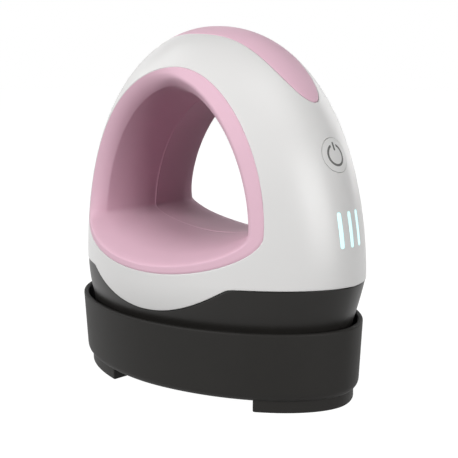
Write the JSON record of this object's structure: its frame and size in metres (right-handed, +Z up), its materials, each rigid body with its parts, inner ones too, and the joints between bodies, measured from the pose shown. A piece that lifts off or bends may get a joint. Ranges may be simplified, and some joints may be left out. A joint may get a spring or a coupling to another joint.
{
  "type": "mini heat press with stand",
  "caption": "Hand-held mini heat press with a loop handle, soft-lined finger tunnel, power button and light bars, standing in an insulated safety stand.",
  "frame": {"origin": "on the ground, under the middle of the stand", "axes": "+X towards the nose with the power button, Y along the finger tunnel, +Z up"},
  "size_m": [0.1245, 0.08, 0.1276],
  "materials": {
    "white_shell": "satin",
    "pink_grip": "matte soft-touch",
    "charcoal_plastic": "fine texture",
    "silicone": "matte",
    "cast_aluminium": "coated",
    "steel": "plain",
    "mica": "layered",
    "ceramic": "matte",
    "brass": "satin",
    "inner_plastic": "matte",
    "circuit_board": "solder mask",
    "component_blue": "moulded",
    "component_yellow": "moulded",
    "component_dark": "moulded",
    "fuse_glass": "clear",
    "light_window": "lit",
    "icon_grey": "printed",
    "cable_rubber": "matte",
    "wire_red": "silicone",
    "wire_grey": "flat"
  },
  "bodies": {
    "stand": {"stand_shell": "charcoal_plastic", "rest_pads": "silicone"},
    "press": {"outer_shell": "white_shell", "liner_near": "pink_grip", "liner_far": "pink_grip", "top_grip": "pink_grip", "base_skirt": "charcoal_plastic", "heat_plate": "cast_aluminium", "heating_element": "steel", "insulation_sheet": "mica", "heat_shield": "steel", "plate_standoffs": "ceramic", "plate_screws": "steel", "temperature_sensor": "brass", "thermal_fuse": "steel", "chassis": "inner_plastic", "chassis_screws": "steel", "shell_screws": "steel", "power_board": "circuit_board", "board_screws": "steel", "terminal_block": "component_blue", "transformer": "component_yellow", "relay": "component_dark", "film_capacitor": "component_yellow", "electrolytic_capacitor": "component_dark", "varistor": "component_blue", "glass_fuse": "fuse_glass", "buzzer": "component_dark", "control_board": "circuit_board", "controller_chip": "component_dark", "switch_body": "component_dark", "indicator_leds": "light_window", "light_guide": "white_shell", "light_bars": "light_window", "button_guide": "white_shell", "cord_bushing": "cable_rubber", "cord_clamp": "inner_plastic", "clamp_screws": "steel", "lead_wires": "wire_red", "ribbon_cable": "wire_grey"},
    "button": {"button_cap": "white_shell", "power_icon": "icon_grey"},
    "switch_contact": {"switch_plunger": "brass"}
  },
  "joints": [
    {"name": "press_lift", "type": "slide", "parent": "stand", "child": "press", "axis": [0, 0, 1], "range_m": [0, 0.045]},
    {"name": "button_push", "type": "slide", "parent": "press", "child": "button", "axis": [-0.9311, 0, -0.3649], "range_m": [0, 0.0004], "stiffness_N_per_m": 1200, "springref_m": -0.0004},
    {"name": "switch_push", "type": "slide", "parent": "press", "child": "switch_contact", "axis": [-0.9311, 0, -0.3649], "range_m": [0, 0.0004]}
  ],
  "couplings": [
    {"joint": "switch_push", "follows": "button_push", "ratio": 1}
  ]
}
